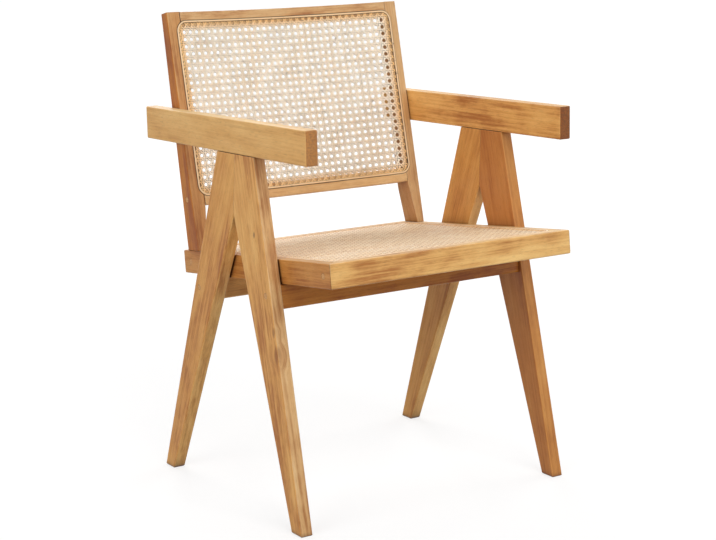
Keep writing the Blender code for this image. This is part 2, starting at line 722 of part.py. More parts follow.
def make_chair():
    """Build the whole chair."""
    arms = make_arms()
    legs = make_legs(arms)
    cross = make_cross_rails(legs)
    seat = make_seat_frame()
    fix_seat(seat, cross)
    edge, inner = SEAT_HALF - SEAT_BORDER, SEAT_HALF - SEAT_RAIL_WIDTH
    groove = (-edge, SEAT_BORDER), (edge, SEAT_LENGTH - SEAT_BORDER)
    window = (-inner, SEAT_RAIL_WIDTH), (inner, SEAT_LENGTH - SEAT_RAIL_WIDTH)
    fit_cane("seat", seat.values(), seat_place(), groove, window, 0)
    stiles, rails = make_back(seat)
    fix_arms(arms, stiles)
    edge, inner = SEAT_HALF - BACK_BORDER, SEAT_HALF - STILE_WIDTH
    groove = (-edge, BACK_GAP + BACK_BORDER), (edge, BACK_HEIGHT - BACK_BORDER)
    window = (-inner, BACK_GAP + BACK_RAIL_HEIGHT), (inner, BACK_HEIGHT - BACK_RAIL_HEIGHT)
    frame = [*stiles.values(), *rails.values()]
    fit_cane("back", frame, back_place() @ FRONTAL, groove, window, BACK_BOW)


empty_scene()
parts = new_collection("cane_dining_chair")
cutters = new_collection("cutters")
make_chair()
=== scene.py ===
"""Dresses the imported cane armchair: oiled teak, a woven cane seat and back, and rattan splines."""
import math
import random

import bmesh
import bpy
from mathutils import Matrix, Vector


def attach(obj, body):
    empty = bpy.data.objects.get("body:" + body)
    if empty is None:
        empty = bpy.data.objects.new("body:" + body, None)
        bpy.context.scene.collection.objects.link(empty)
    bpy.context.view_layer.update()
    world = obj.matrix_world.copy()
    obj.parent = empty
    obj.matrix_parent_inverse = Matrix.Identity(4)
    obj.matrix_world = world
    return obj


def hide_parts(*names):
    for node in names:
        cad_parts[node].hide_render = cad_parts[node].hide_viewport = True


MM = 0.001

# Photograph's camera, fitted to the chair's edges
CAMERA_AT = (-1.6907, -2.5066, 1.0172)
CAMERA_AZIMUTH = math.radians(-33.9616)
CAMERA_PITCH = math.radians(12.2612)
CAMERA_ROLL = math.radians(-0.2691)
CAMERA_LENS = 89.98
CAMERA_SENSOR = 36

# Places of the seat and back, as in the solids
SEAT_FRONT = (0, -273.1 * MM, 447.6 * MM)
SEAT_TILT = math.radians(6.82)
SEAT_LENGTH = 467 * MM
SEAT_HALF = 238.7 * MM
SEAT_BORDER = 18 * MM
STILE_SETBACK = 54.5 * MM
STILE_WIDTH = 25 * MM
BACK_LEAN = math.radians(13.34)
BACK_HEIGHT = 412 * MM
BACK_GAP = 77.5 * MM
BACK_BORDER = 14.8 * MM
BACK_BOW = 14 * MM
ARM_TILT = math.radians(1.6)

# Groove round each panel
GROOVE_WIDTH = 4.6 * MM
CORNER_RADIUS = 20 * MM
CORNER_STEPS = 10
SIDE_STEPS = 24
SPLINE_HALF = 2.0 * MM
SPLINE_INWARD = 0.25 * MM
SPLINE_BOTTOM = -6.5 * MM
BACK_CROWN = 1.3 * MM
SEAT_CROWN = 0.5 * MM
SPLINE_SHOULDER = -0.4 * MM
SPLINE_FLAT = 0.3
SPLINE_BREAK = (0.75, 0.65)
# Painted shade on the spline's sides down in the groove, by vertex of its section
SPLINE_SIDE_SHADE = (1.0, 1.0, 0.2, 0, 0, 0.2, 1.0, 1.0)
SPLINE_TONE = 0.4
SPLINE_SHARP = math.radians(60)

# Cane weave: paired strands each way, and single diagonals
PAIR_OFFSET = 1.66 * MM
STRAND_WIDTH = 3.28 * MM
DIAGONAL_WIDTH = 3.2 * MM
STRAND_THICKNESS = 0.42 * MM
WEAVE_DEPTH = -1.0 * MM
WEAVE_RISE = 0.28 * MM
DIAGONAL_RISE = 0.5 * MM
UNDER_SPLINE = 3.9 * MM
DIAGONAL_STEPS = 2
# How dark each kind of strand's edges go, part stain and part painted shade in the gaps between strands;
# darkest on the level strands, whose lower edges lie in shade
UPRIGHT_DARK = 1.1
LEVEL_DARK = 5.0
DIAGONAL_DARK = 2.8
# Band along the frame in which the cane fades to the painted shade near the frame
MARGIN_START = 7 * MM
MARGIN_END = 20 * MM
LATTICE_SPARE = 2
CLIP_STEPS = 24
WEAVE_SHARP = math.radians(75)

# One strand: its section in shares of width and thickness, and how its width and its edges' stain and painted
# shade vary
STRAND_SECTION = ((-0.5, -0.5), (-0.22, 0.5), (0.22, 0.5), (0.5, -0.5), (0, -0.5))
WIDTH_VARIES = (0.92, 1.06)
LEAST_STAIN_AND_SHADE = 0.25
LOOSE_EDGE_STAIN_AND_SHADE = 0.5
UNDERSIDE_STAIN_AND_SHADE = -0.8

# Bake map: each strand's strip has a lane for each side and one for its ends
BAKE_LANES = len(STRAND_SECTION) + 1
LANE_EDGE = 0.08

# Lattice of each weave in its panel's plane: middle, pitch and slight skew
BACK_WEAVE = {
    "middle": (-8.0 * MM, 245.5 * MM),
    "pitch": (12.886 * MM, 12.563 * MM),
    "skew": (-0.096 * MM, 0.066 * MM),
}
SEAT_WEAVE = {
    "middle": (0, 233.5 * MM),
    "pitch": (12.7 * MM, 12.7 * MM),
    "skew": (0, 0),
}

# Lamps and surroundings
WORLD_LIGHT = 0.28
FLOOR_GLOW = 0.705
FLOOR_FAR_GLOW = 0.94
FLOOR_NEAR = 0.6
FLOOR_FAR = 6.0
FLOOR_RADIUS = 14
FLOOR_SIDES = 96
FLOOR_GREY = (0.3, 0.3, 0.3, 1)
FLOOR_ROUGHNESS = 0.9
WHITE = (1, 1, 1, 1)
LAMP_SIZE = 2.6
LAMP_TARGET = (0, 0, 0.45)
LAMPS = {
    "left_lamp": ((-3.6, -0.9, 1.75), 68),
    "front_lamp": ((-0.2, -3.1, 2.8), 82),
    "low_lamp": ((2.73, -2.73, 1.49), 18),
    "rear_lamp": ((0.5, 3.1, 2.7), 74),
    "right_lamp": ((3.3, 0.6, 2.3), 48),
}

# Layers of the wood's figure: scale along and across the grain
CLOUD_STRETCH = (4.0, 19, 19)
MOTTLE_STRETCH = (20, 50, 50)
STREAK_STRETCH = (2.2, 66, 66)
GROWTH_STRETCH = (0.08, 1, 1)
FIBRE_STRETCH = (6, 300, 300)
MINERAL_STRETCH = (1.6, 110, 110)
MINERAL_SHIFT = (3, 5, 7)
PORE_STRETCH = (75, 2100, 2100)

# Share of each layer in the wood's darkness, and the darkness that figure varies about
CLOUD_SHARE = 0.42
MOTTLE_SHARE = 0.22
STREAK_SHARE = 0.06
GROWTH_SHARE = 0.09
FIBRE_SHARE = 0.22
MEAN_DEPTH = 0.45

# Wood's finish
GRAIN_LEAN_Z = math.radians(1.2)
GRAIN_LEAN_Y = math.radians(0.8)
SEED_SHIFT = (1.37, 0.71, 0.53)
EDGE_ROUND = 1.5 * MM
# Reach of the painted shade in corners and of the grime and painted shade at seams; heights of the painted
# contact shadow at the foot of the legs
CORNER_SHADE_REACH = 40 * MM
SEAM_GRIME_AND_SHADE_REACH = 6 * MM
FOOT_SHADE_TOP = 9 * MM
FOOT_SHADE_FULL = 1 * MM
BUMP_DEPTH = 0.3 * MM
BUMP_STRENGTH = 0.2
WOOD_SPECULAR = 0.35

# Knots: how far the grain parts round one, how strongly, and how slim its heart is
KNOT_REACH = 5
KNOT_PULL = 0.85
KNOT_SLIM = (1, 1, 0.45)

# Knots seen on the near front leg: place, size and darkness of the heart
LEG_KNOTS = (
    ((-0.2628, -0.090, 0.466), 2.6 * MM, 0.8),
    ((-0.2655, -0.158, 0.282), 7 * MM, 0.35),
    ((-0.2650, -0.150, 0.318), 4 * MM, 0.45),
)

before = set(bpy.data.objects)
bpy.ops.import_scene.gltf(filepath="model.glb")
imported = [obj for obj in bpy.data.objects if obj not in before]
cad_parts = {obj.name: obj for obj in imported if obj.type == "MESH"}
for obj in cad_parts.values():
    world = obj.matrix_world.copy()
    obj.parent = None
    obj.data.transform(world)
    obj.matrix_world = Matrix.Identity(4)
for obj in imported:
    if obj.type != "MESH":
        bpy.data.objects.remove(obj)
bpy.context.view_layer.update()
rng = random.Random(7)


def link(obj):
    """Put an object in the scene."""
    bpy.context.scene.collection.objects.link(obj)
    return obj


def seat_place():
    """Front top edge of the seat: local Y runs to the rear, local Z is the seat's normal."""
    return Matrix.Translation(SEAT_FRONT) @ Matrix.Rotation(-SEAT_TILT, 4, "X")


def back_place():
    """The back's front face: local Y runs up the face, local Z points to the sitter."""
    foot = seat_place() @ Vector((0, SEAT_LENGTH - STILE_SETBACK, 0))
    return Matrix.Translation(foot) @ Matrix.Rotation(math.pi / 2 - BACK_LEAN, 4, "X")


def make_camera():
    """The camera at the photograph's view."""
    data = bpy.data.cameras.new("camera")
    data.sensor_width = CAMERA_SENSOR
    data.sensor_fit = "HORIZONTAL"
    data.lens = CAMERA_LENS
    right = Vector((math.cos(CAMERA_AZIMUTH), math.sin(CAMERA_AZIMUTH), 0))
    level = Vector((-math.sin(CAMERA_AZIMUTH), math.cos(CAMERA_AZIMUTH), 0))
    ahead = level * math.cos(CAMERA_PITCH) - Vector((0, 0, math.sin(CAMERA_PITCH)))
    up = right.cross(ahead)
    right = right * math.cos(CAMERA_ROLL) + up * math.sin(CAMERA_ROLL)
    up = right.cross(ahead)
    camera = link(bpy.data.objects.new("camera", data))
    camera.matrix_world = Matrix.Translation(CAMERA_AT) @ Matrix((right, up, -ahead)).transposed().to_4x4()
    bpy.context.scene.camera = camera


class Tree:
    """Short ways to add shader nodes to a material."""

    def __init__(self, name):
        self.material = bpy.data.materials.new(name)
        self.material.use_nodes = True
        self.tree = self.material.node_tree
        self.shader = self.tree.nodes["Principled BSDF"]

    def set(self, socket, value):
        """Set an input to a number, a colour or another node's output."""
        if isinstance(value, bpy.types.NodeSocket):
            self.tree.links.new(value, socket)
        else:
            socket.default_value = value

    def node(self, kind, inputs=None, **settings):
        """A new node with settings and inputs."""
        made = self.tree.nodes.new("ShaderNode" + kind)
        for name, value in settings.items():
            setattr(made, name, value)
        for key, value in (inputs or {}).items():
            self.set(made.inputs[key], value)
        return made

    def math(self, operation, first, second=0.0, third=0.0):
        """A Math node's output."""
        return self.node("Math", {0: first, 1: second, 2: third}, operation=operation).outputs[0]

    def spread(self, value, low, high, to_low=0.0, to_high=1.0):
        """A value mapped smoothly from one range to another."""
        inputs = {"Value": value, "From Min": low, "From Max": high, "To Min": to_low, "To Max": to_high}
        return self.node("MapRange", inputs, interpolation_type="SMOOTHSTEP").outputs["Result"]

    def mix(self, factor, first, second, blend="MIX"):
        """A mixed colour."""
        made = self.node("Mix", data_type="RGBA", blend_type=blend)
        self.set(made.inputs["Factor"], factor)
        self.set(made.inputs["A"], first)
        self.set(made.inputs["B"], second)
        return made.outputs["Result"]

    def noise(self, vector, scale, detail=2.0, roughness=0.5):
        """A noise texture's value."""
        inputs = {"Vector": vector, "Scale": scale, "Detail": detail, "Roughness": roughness}
        return self.node("TexNoise", inputs).outputs[0]

    def scaled(self, vector, scale, location=(0, 0, 0)):
        """Coordinates stretched by a scale."""
        return self.node("Mapping", {"Vector": vector, "Scale": scale, "Location": location}).outputs[0]


def rgb(red, green, blue):
    """A linear colour from display values of 0 to 255."""
    def linear(value):
        value /= 255
        return value / 12.92 if value <= 0.04045 else ((value + 0.055) / 1.055) ** 2.4
    return (linear(red), linear(green), linear(blue), 1.0)


TEAK_PALE = rgb(232, 184, 112)
TEAK_MID = rgb(212, 156, 86)
TEAK_DEEP = rgb(168, 104, 46)
# Pores and knot hearts; also the colour of the painted shade in corners and seams and at the feet
TEAK_PORE_AND_SHADE = rgb(92, 52, 26)
TEAK_WORN = rgb(240, 208, 158)
TEAK_END = rgb(128, 80, 44)
PLUG_PALE = rgb(218, 167, 108)
PLUG_DEEP = rgb(182, 126, 72)
STEEL_DULL = rgb(170, 168, 160)
STEEL_BRIGHT = rgb(205, 203, 196)

# Cane and rattan: pale strands, deep strands, and the colour of their dark edges, part stain and part painted
# shade in the gaps; then the painted shade of the cane near the frame
BACK_CANE = (rgb(255, 246, 230), rgb(244, 219, 186), rgb(40, 26, 16))
SEAT_CANE = (rgb(255, 239, 211), rgb(243, 211, 168), rgb(188, 146, 104))
BACK_RATTAN = (rgb(246, 216, 172), rgb(224, 182, 132), rgb(62, 36, 18))
SEAT_RATTAN = (rgb(255, 240, 216), rgb(244, 214, 176), rgb(206, 166, 124))
FRAME_SHADED_CANE = rgb(242, 187, 110)


def bend_round_knots(t, coords, knots):
    """Grain coordinates that part round each knot, and how far a point is inside a knot's dark heart."""
    bent, heart = coords, 0.0
    for place, size, dark in knots:
        offset = t.node("VectorMath", {0: coords, 1: place}, operation="SUBTRACT").outputs[0]
        distance = t.node("VectorMath", {0: offset}, operation="LENGTH").outputs["Value"]
        away = t.spread(distance, KNOT_REACH * size, 0, 0, KNOT_PULL)
        pull = t.node("VectorMath", {0: offset, "Scale": away}, operation="SCALE").outputs[0]
        bent = t.node("VectorMath", {0: bent, 1: pull}, operation="SUBTRACT").outputs[0]
        slim = t.node("VectorMath", {0: offset, 1: KNOT_SLIM}, operation="MULTIPLY").outputs[0]
        reach = t.node("VectorMath", {0: slim}, operation="LENGTH").outputs["Value"]
        heart = t.math("MAXIMUM", t.spread(reach, 1.3 * size, 0.3 * size, 0, dark), heart)
    return bent, heart


def grain_depth(t, along):
    """Darkness of the wood from clouds, mottle, streaks, growth lines and fibres, and the fibres alone."""
    cloud = t.noise(t.scaled(along, CLOUD_STRETCH), 1.0, 2.0, 0.5)
    mottle = t.noise(t.scaled(along, MOTTLE_STRETCH), 1.0, 3.0, 0.6)
    streak = t.node("TexNoise", {
        "Vector": t.scaled(along, STREAK_STRETCH),
        "Scale": 1.0,
        "Detail": 3.0,
        "Roughness": 0.6,
        "Distortion": 0.4,
    }).outputs[0]
    growth = t.node("TexWave", {
        "Vector": t.scaled(along, GROWTH_STRETCH),
        "Scale": 34.0,
        "Distortion": 10.0,
        "Detail": 2.0,
        "Detail Scale": 0.8,
    }, wave_type="RINGS", rings_direction="X").outputs["Fac"]
    lines = t.math("MULTIPLY", t.math("POWER", growth, 1.6), t.spread(cloud, 0.35, 0.6, 0.35, 1.0))
    fibre = t.noise(t.scaled(along, FIBRE_STRETCH), 1.0, 4.0, 0.65)
    layers = (
        (t.spread(cloud, 0.25, 0.75), CLOUD_SHARE),
        (t.spread(mottle, 0.3, 0.7), MOTTLE_SHARE),
        (t.spread(streak, 0.3, 0.7), STREAK_SHARE),
        (lines, GROWTH_SHARE),
        (t.spread(fibre, 0.35, 0.65), FIBRE_SHARE),
    )
    depth = 0.0
    for layer, share in layers:
        depth = t.math("MULTIPLY_ADD", layer, share, depth)
    return depth, fibre


def wood_figure(t, along, figure):
    """Teak's colour from its grain, mineral streaks and pores, and the fibres and pores alone."""
    depth, fibre = grain_depth(t, along)
    depth = t.math("MULTIPLY_ADD", depth, figure, MEAN_DEPTH * (1 - figure))
    ramp = t.node("ValToRGB", {"Fac": depth})
    ramp.color_ramp.elements[0].color = TEAK_PALE
    ramp.color_ramp.elements[1].color = TEAK_DEEP
    ramp.color_ramp.elements.new(0.55).color = TEAK_MID
    mineral = t.noise(t.scaled(along, MINERAL_STRETCH, MINERAL_SHIFT), 1.0, 2.0, 0.5)
    colour = t.mix(t.spread(mineral, 0.62, 0.76, 0, 0.18), ramp.outputs[0], TEAK_DEEP)
    pores = t.spread(t.noise(t.scaled(along, PORE_STRETCH), 1.0, 1.0, 0.4), 0.60, 0.74, 0, 0.35)
    return t.mix(pores, colour, TEAK_PORE_AND_SHADE), fibre, pores


def wear_edges(t, colour, coords, rounded, smooth_normal):
    """Paler wood where the edges are worn, here and there."""
    edge = t.node("VectorMath", {0: rounded, 1: smooth_normal}, operation="DISTANCE").outputs["Value"]
    patchy = t.spread(t.noise(coords, 60.0, 3.0), 0.35, 0.65, 0.0, 0.35)
    return t.mix(t.math("MULTIPLY", t.spread(edge, 0.05, 0.5), patchy), colour, TEAK_WORN)


def darken_ends(t, colour, coords, normal, grain):
    """Dark, speckled end grain on the faces that the grain runs into."""
    across = t.node("VectorMath", {0: normal, 1: grain}, operation="DOT_PRODUCT").outputs["Value"]
    end = t.spread(t.math("ABSOLUTE", across), 0.75, 0.92, 0, 0.8)
    speck = t.spread(t.noise(coords, 420.0, 2.0), 0.35, 0.65)
    return t.mix(end, colour, t.mix(speck, TEAK_END, TEAK_DEEP))


def paint_face_light(t, colour, normal, tone, front):
    """Painted light and shade by the way a face points: a tone for the sides, one for the front and rear, one
    for the far side, and a painted sheen on the tops.
    """
    turned = t.node("SeparateXYZ", {0: normal}).outputs
    shade = t.mix(t.spread(t.math("ABSOLUTE", turned["Y"]), 0.55, 0.85), (*tone, 1), (*front, 1))
    shade = t.mix(t.spread(turned["X"], 0.5, 0.8), shade, (*FAR_SIDE, 1))
    colour = t.mix(1.0, colour, shade, "MULTIPLY")
    return t.mix(t.spread(turned["Z"], 0.6, 0.9), colour, (*TOP_SHEEN, 1), "MULTIPLY")


def paint_corner_shade(t, colour, coords):
    """Painted shade in corners, grime and painted shade at seams, and a painted contact shadow at the foot of
    the legs.
    """
    # Painted shade: darker where nearby parts close in, within a few centimetres, and at the seams
    corner = t.node("AmbientOcclusion", {"Distance": CORNER_SHADE_REACH}, samples=8).outputs["AO"]
    colour = t.mix(t.spread(corner, 0.75, 0.25, 0, 0.5), colour, TEAK_PORE_AND_SHADE)
    seam = t.node("AmbientOcclusion", {"Distance": SEAM_GRIME_AND_SHADE_REACH}, samples=8).outputs["AO"]
    colour = t.mix(t.spread(seam, 0.7, 0.2, 0, 0.7), colour, TEAK_PORE_AND_SHADE)
    # Painted contact shadow: darker towards the floor
    height = t.node("SeparateXYZ", {0: coords}).outputs["Z"]
    return t.mix(t.spread(height, FOOT_SHADE_TOP, FOOT_SHADE_FULL, 0, 0.45), colour, TEAK_PORE_AND_SHADE)


def wood(name, grain, tone, front, figure, seed, knots=()):
    """Oiled teak, with its grain direction, side tone, front and rear tone, and strength of figure; its
    tones, tops and corners carry painted light and shade.
    """
    t = Tree(name)
    grain = Vector(grain).normalized()
    lean = Matrix.Rotation(GRAIN_LEAN_Z, 3, "Z") @ Matrix.Rotation(GRAIN_LEAN_Y, 3, "Y")
    turn = (lean @ grain.rotation_difference(Vector((1, 0, 0))).to_matrix()).to_euler()
    coords = t.node("TexCoord").outputs["Object"]
    bent, heart = bend_round_knots(t, coords, knots)
    shift = [seed * step for step in SEED_SHIFT]
    along = t.node("Mapping", {"Vector": bent, "Rotation": turn, "Location": shift}).outputs[0]
    colour, fibre, pores = wood_figure(t, along, figure)
    colour = t.mix(heart, colour, TEAK_PORE_AND_SHADE) if knots else colour
    rounded = t.node("Bevel", {"Radius": EDGE_ROUND}, samples=6).outputs[0]
    facing = t.node("NewGeometry").outputs
    colour = wear_edges(t, colour, coords, rounded, facing["Normal"])
    colour = darken_ends(t, colour, coords, facing["True Normal"], grain)
    colour = paint_face_light(t, colour, facing["True Normal"], tone, front)
    t.set(t.shader.inputs["Base Color"], paint_corner_shade(t, colour, coords))
    t.set(t.shader.inputs["Roughness"], t.spread(fibre, 0.2, 0.8, 0.38, 0.54))
    height = t.math("SUBTRACT", t.math("MULTIPLY", fibre, 0.6), t.math("MULTIPLY", pores, 0.8))
    bump = {"Height": height, "Strength": BUMP_STRENGTH, "Distance": BUMP_DEPTH, "Normal": rounded}
    t.set(t.shader.inputs["Normal"], t.node("Bump", bump).outputs[0])
    t.shader.inputs["Specular IOR Level"].default_value = WOOD_SPECULAR
    return t.material


def plug_wood(name):
    """End grain of a wooden plug, a little paler than the legs."""
    t = Tree(name)
    coords = t.node("TexCoord").outputs["Object"]
    speck = t.spread(t.noise(coords, 900.0, 2.0), 0.35, 0.65)
    t.set(t.shader.inputs["Base Color"], t.mix(speck, PLUG_PALE, PLUG_DEEP))
    t.set(t.shader.inputs["Roughness"], t.spread(speck, 0, 1, 0.5, 0.65))
    return t.material


def steel(name):
    """Zinc-plated screw steel."""
    t = Tree(name)
    coords = t.node("TexCoord").outputs["Object"]
    cloud = t.noise(coords, 300.0, 3.0)
    t.set(t.shader.inputs["Base Color"], t.mix(cloud, STEEL_DULL, STEEL_BRIGHT))
    t.shader.inputs["Metallic"].default_value = 1.0
    t.set(t.shader.inputs["Roughness"], t.spread(cloud, 0.3, 0.7, 0.28, 0.45))
    return t.material


def cane(name, pale, deep, gap):
    """Natural cane: pale and deep strands, painted shade near the frame, edges darkened by stain and painted
    gap shade, and a few flecks.
    """
    t = Tree(name)
    tone = t.node("Attribute", attribute_name="tone").outputs["Fac"]
    brink = t.node("Attribute", attribute_name="brink").outputs["Fac"]
    margin = t.node("Attribute", attribute_name="margin").outputs["Fac"]
    coords = t.node("TexCoord").outputs["Object"]
    fine = t.noise(coords, 700.0, 2.0)
    depth = t.math("MULTIPLY", tone, 0.55)
    depth = t.math("MULTIPLY_ADD", t.spread(t.noise(coords, 24.0, 3.0), 0.35, 0.65), 0.3, depth)
    depth = t.math("MULTIPLY_ADD", t.spread(fine, 0.35, 0.65), 0.15, depth)
    # Painted shade of the cane near the frame, which has wood behind it
    colour = t.mix(t.math("MULTIPLY", margin, 0.9), t.mix(depth, pale, deep), FRAME_SHADED_CANE)
    colour = t.mix(t.spread(t.noise(coords, 210.0, 2.0), 0.68, 0.73, 0, 0.75), colour, gap)
    patchy = t.spread(t.noise(coords, 45.0, 2.0), 0.35, 0.65, 0.75, 1.0)
    # Dark strand edges: part stain, part painted shade in the gaps between strands
    cane_stain_and_shade = t.math("MULTIPLY", t.spread(brink, 0.0, 0.5), patchy)
    t.set(t.shader.inputs["Base Color"], t.mix(cane_stain_and_shade, colour, gap))
    t.set(t.shader.inputs["Roughness"], t.spread(fine, 0.2, 0.8, 0.4, 0.55))
    return t.material


def bow_at(x, bow):
    """Depth of the bowed panel behind the stiles' front faces."""
    half = SEAT_HALF - STILE_WIDTH
    return bow * (1 - min(1.0, abs(x) / half) ** 2)


def depth_inside(x, y, low, high):
    """How far a point is inside the groove's outline."""
    reach_x = abs(x - (low[0] + high[0]) / 2) - ((high[0] - low[0]) / 2 - CORNER_RADIUS)
    reach_y = abs(y - (low[1] + high[1]) / 2) - ((high[1] - low[1]) / 2 - CORNER_RADIUS)
    return CORNER_RADIUS - math.hypot(max(reach_x, 0), max(reach_y, 0)) - min(max(reach_x, reach_y), 0)


class Weave:
    """Collects the strands of one cane panel as ribbons in one mesh."""

    def __init__(self, lattice, low, high, bow):
        self.lattice, self.low, self.high, self.bow = lattice, low, high, bow
        self.verts, self.faces, self.strips = [], [], []
        self.tones, self.brinks, self.margins = [], [], []

    def point(self, a, b):
        """A lattice position in the panel's plane."""
        (mx, my), (px, py), (sx, sy) = (self.lattice[key] for key in ("middle", "pitch", "skew"))
        return mx + px * a + sx * b, my + py * b + sy * a

    def clip(self, path):
        """The part of a path of (a, b, rise) that is inside the panel."""
        def within(p):
            return depth_inside(*self.point(p[0], p[1]), self.low, self.high) >= UNDER_SPLINE

        def border(out, kept):
            for _ in range(CLIP_STEPS):
                half = tuple((u + v) / 2 for u, v in zip(out, kept))
                out, kept = (out, half) if within(half) else (half, kept)
            return kept

        flags = [within(p) for p in path]
        if sum(flags) < 2:
            return []
        first = flags.index(True)
        last = len(flags) - 1 - flags[::-1].index(True)
        kept = path[first:last + 1]
        if first > 0:
            kept.insert(0, border(path[first - 1], path[first]))
        if last < len(path) - 1:
            kept.append(border(path[last + 1], path[last]))
        return kept

    def strand(self, path, width, dark, twin=0):
        """Add one ribbon along a path, its edges stained and painted with gap shade as dark as chance has it,
        most where it lies at its twin.
        """
        path = self.clip(path)
        if len(path) < 2:
            return
        spots = []
        for a, b, rise in path:
            x, y = self.point(a, b)
            spots.append(Vector((x, y, WEAVE_DEPTH + rise - bow_at(x, self.bow))))
        tone = rng.random()
        width *= rng.uniform(*WIDTH_VARIES)
        edge_stain_and_shade = dark * (LEAST_STAIN_AND_SHADE + (1 - LEAST_STAIN_AND_SHADE) * rng.random() ** 2)
        left = 1.0 if twin < 0 else LOOSE_EDGE_STAIN_AND_SHADE
        right = 1.0 if twin > 0 else LOOSE_EDGE_STAIN_AND_SHADE
        edge_shares = (left, 0, 0, right, UNDERSIDE_STAIN_AND_SHADE)
        count = len(STRAND_SECTION)
        base = len(self.verts)
        for i, spot in enumerate(spots):
            ahead = spots[min(i + 1, len(spots) - 1)] - spots[max(i - 1, 0)]
            side = Vector((ahead.y, -ahead.x, 0)).normalized()
            # margin: how far into the band by the frame a spot lies, where the cane takes painted shade
            depth = depth_inside(spot.x, spot.y, self.low, self.high)
            margin = min(1.0, max(0.0, (MARGIN_END - depth) / (MARGIN_END - MARGIN_START)))
            for (u, v), share in zip(STRAND_SECTION, edge_shares):
                self.verts.append(spot + side * (u * width) + Vector((0, 0, v * STRAND_THICKNESS)))
                self.tones.append(tone)
                self.margins.append(margin)
                self.brinks.append(share * edge_stain_and_shade)
        row = len(self.strips)
        self.strips.append(len(spots))
        for i in range(len(spots) - 1):
            near, far = base + count * i, base + count * (i + 1)
            for k in range(count):
                n = (k + 1) % count
                self.faces.append(((near + k, near + n, far + n, far + k), (row, i, k)))
        tail = base + count * (len(spots) - 1)
        self.faces.append(((base + 3, base + 2, base + 1, base, base + 4), (row, 0, count)))
        self.faces.append(((tail, tail + 1, tail + 2, tail + 3, tail + 4), (row, len(spots) - 1, count)))

    def build(self, name):
        """The mesh, with one strip of its bake map for each strand."""
        mesh = bpy.data.meshes.new(name)
        mesh.from_pydata(self.verts, [], [face for face, spot in self.faces])
        for label, values in (("tone", self.tones), ("brink", self.brinks), ("margin", self.margins)):
            mesh.attributes.new(label, "FLOAT", "POINT").data.foreach_set("value", values)
        layer = mesh.uv_layers.new(name="OFBake")
        rows, columns = len(self.strips), max(self.strips)
        spots = []
        for face, (row, i, k) in self.faces:
            low = (row + (k + LANE_EDGE) / BAKE_LANES) / rows
            high = (row + (k + 1 - LANE_EDGE) / BAKE_LANES) / rows
            left, right = i / columns, (i + 1) / columns
            corners = ((left, low), (left, high), (right, high), (right, low), ((left + right) / 2, low))
            for spot in corners[:len(face)]:
                spots.extend(spot)
        layer.data.foreach_set("uv", spots)
        mesh.shade_smooth()
        mesh.set_sharp_from_angle(angle=WEAVE_SHARP)
        return mesh


def weave_panel(name, lattice, low, high, bow, place, material):
    """Weave a cane panel: pairs of strands each way, locked at each crossing, and two sets of diagonals."""
    weave = Weave(lattice, low, high, bow)
    px, py = lattice["pitch"]
    offset_a, offset_b = PAIR_OFFSET / px, PAIR_OFFSET / py
    reach_a = math.ceil((high[0] - low[0]) / px / 2) + LATTICE_SPARE
    reach_b = math.ceil((high[1] - low[1]) / py / 2) + LATTICE_SPARE
    for a in range(-reach_a, reach_a + 1):
        for side in (-1, 1):
            path = []
            for b in range(-reach_b, reach_b + 1):
                path.append((a + side * offset_a, b - offset_b, side * WEAVE_RISE))
                path.append((a + side * offset_a, b + offset_b, -side * WEAVE_RISE))
                path.append((a + side * offset_a, b + 0.5, 0))
            weave.strand(path, STRAND_WIDTH, UPRIGHT_DARK, -side)
    for b in range(-reach_b, reach_b + 1):
        for side in (-1, 1):
            path = []
            for a in range(-reach_a, reach_a + 1):
                path.append((a - offset_a, b + side * offset_b, -side * WEAVE_RISE))
                path.append((a + offset_a, b + side * offset_b, side * WEAVE_RISE))
                path.append((a + 0.5, b + side * offset_b, 0))
            weave.strand(path, STRAND_WIDTH, LEVEL_DARK, side)
    for slope in (1, -1):
        for c in range(-reach_a - reach_b, reach_a + reach_b):
            path = []
            for i in range(-reach_a * DIAGONAL_STEPS, reach_a * DIAGONAL_STEPS + 1):
                a = i / DIAGONAL_STEPS
                b = slope * (a - c - 0.5)
                path.append((a, b, slope * DIAGONAL_RISE * math.cos(2 * math.pi * a)))
            weave.strand(path, DIAGONAL_WIDTH, DIAGONAL_DARK)
    obj = link(bpy.data.objects.new(name, weave.build(name)))
    obj.matrix_world = place
    obj.data.materials.append(material)
    return obj


def spline_path(low, high):
    """Points along the middle of a groove, with the outward direction at each."""
    inset = GROOVE_WIDTH / 2
    radius = CORNER_RADIUS - inset
    x0, y0, x1, y1 = low[0] + inset, low[1] + inset, high[0] - inset, high[1] - inset
    corners = ((x1, y1, 0), (x0, y1, 1), (x0, y0, 2), (x1, y0, 3))
    centres = []
    for x, y, quarter in corners:
        centres.append((x - math.copysign(radius, x), y - radius if y == y1 else y + radius, quarter))
    path = []
    for n, (x, y, quarter) in enumerate(centres):
        for i in range(CORNER_STEPS + 1):
            angle = (quarter + i / CORNER_STEPS) * math.pi / 2
            out = Vector((math.cos(angle), math.sin(angle), 0))
            path.append((Vector((x, y, 0)) + out * radius, out))
        start, out = path[-1]
        nx, ny, quarter = centres[(n + 1) % 4]
        angle = quarter * math.pi / 2
        end = Vector((nx, ny, 0)) + Vector((math.cos(angle), math.sin(angle), 0)) * radius
        for i in range(1, SIDE_STEPS):
            path.append((start.lerp(end, i / SIDE_STEPS), out))
    return path


